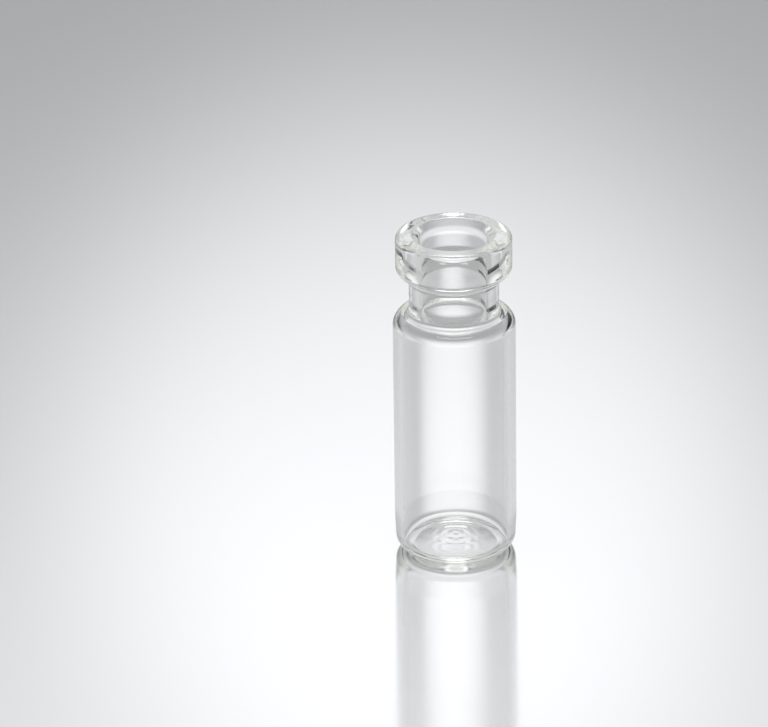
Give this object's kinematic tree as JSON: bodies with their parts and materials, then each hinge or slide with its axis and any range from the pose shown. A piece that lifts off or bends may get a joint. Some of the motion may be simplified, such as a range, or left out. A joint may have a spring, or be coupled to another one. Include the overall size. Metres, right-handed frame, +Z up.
{
  "type": "glass sample vial",
  "caption": "Clear flat-bottomed glass sample vial with a straight body, sloping shoulder, short neck and a thick flat-topped rim for a crimped cap.",
  "frame": {"origin": "centre of the standing ring, on the surface that the vial stands on", "axes": "+Z up the vial's own axis to its mouth; the vial is round, so X and Y may be turned freely about it"},
  "size_m": [0.0116, 0.0116, 0.0322],
  "materials": {
    "clear_glass": "clear, smooth, fire-polished"
  },
  "bodies": {
    "root": {"vial": "clear_glass"}
  },
  "joints": []
}
